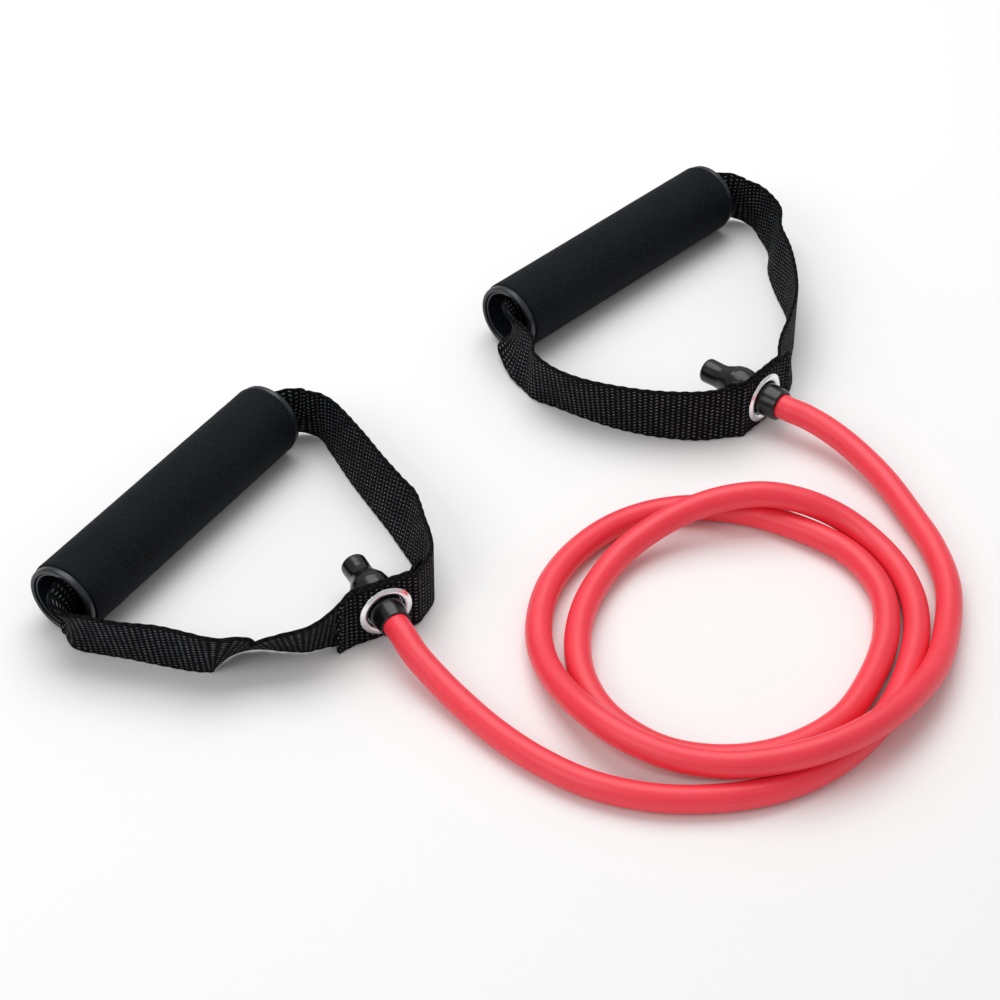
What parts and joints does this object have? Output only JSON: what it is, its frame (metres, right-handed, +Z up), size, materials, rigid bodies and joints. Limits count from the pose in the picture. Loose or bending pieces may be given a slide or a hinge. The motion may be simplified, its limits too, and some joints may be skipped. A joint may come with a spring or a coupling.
{
  "type": "resistance band",
  "caption": "Exercise resistance band: a coiled elastic tube ending in webbing loops with tubular foam grips, each loop held on the tube by a metal eyelet and a rubber stopper.",
  "frame": {"origin": "under the middle of the two handles, on the floor the band lies on", "axes": "+Z up, away from the floor; the coil of tube lies towards +X and -Y of the origin, one handle on the -X side and one on the +Y side"},
  "size_m": [0.3446, 0.3716, 0.0301],
  "materials": {
    "tube_rubber": "satin",
    "foam": "matt foam",
    "core_plastic": "satin",
    "collar_plastic": "semi-gloss",
    "webbing": "herringbone weave",
    "eyelet_metal": "polished",
    "stopper_rubber": "semi-gloss",
    "ball_plastic": "gloss"
  },
  "bodies": {
    "tube": {"tube_loop": "tube_rubber", "left_tube_lead": "tube_rubber", "right_tube_lead": "tube_rubber"},
    "left_end": {"left_tube_end": "tube_rubber", "left_stopper_ball": "ball_plastic", "left_stopper_sleeve": "stopper_rubber"},
    "left_loop": {"left_strap": "webbing", "left_eyelet": "eyelet_metal", "left_eyelet_washer": "eyelet_metal"},
    "left_grip": {"left_foam_grip": "foam", "left_grip_core": "core_plastic", "left_near_collar": "collar_plastic", "left_far_collar": "collar_plastic"},
    "right_end": {"right_tube_end": "tube_rubber", "right_stopper_ball": "ball_plastic", "right_stopper_sleeve": "stopper_rubber"},
    "right_loop": {"right_strap": "webbing", "right_eyelet": "eyelet_metal", "right_eyelet_washer": "eyelet_metal"},
    "right_grip": {"right_foam_grip": "foam", "right_grip_core": "core_plastic", "right_near_collar": "collar_plastic", "right_far_collar": "collar_plastic"}
  },
  "joints": [
    {"name": "left_stretch", "type": "slide", "parent": "tube", "child": "left_end", "axis": [-0.454, 0.891, 0], "range_m": [0, 0.085], "stiffness_N_per_m": 710, "deforming": ["left_tube_lead"]},
    {"name": "left_swivel", "type": "hinge", "parent": "left_end", "child": "left_loop", "pos_m": [-0.0195, -0.125, 0.0125], "axis": [0.454, -0.891, 0], "range_deg": [-120, 120]},
    {"name": "left_spin", "type": "hinge", "parent": "left_loop", "child": "left_grip", "pos_m": [-0.1375, -0.125, 0.015], "axis": [0.5318, 0.8468, 0], "continuous": true},
    {"name": "right_stretch", "type": "slide", "parent": "tube", "child": "right_end", "axis": [-0.766, 0.6428, 0], "range_m": [0, 0.085], "stiffness_N_per_m": 710, "deforming": ["right_tube_lead"]},
    {"name": "right_swivel", "type": "hinge", "parent": "right_end", "child": "right_loop", "pos_m": [0.128, 0.0015, 0.0125], "axis": [0.766, -0.6428, 0], "range_deg": [-120, 120]},
    {"name": "right_spin", "type": "hinge", "parent": "right_loop", "child": "right_grip", "pos_m": [0.0256, 0.05, 0.015], "axis": [0.6947, 0.7193, 0], "continuous": true}
  ]
}
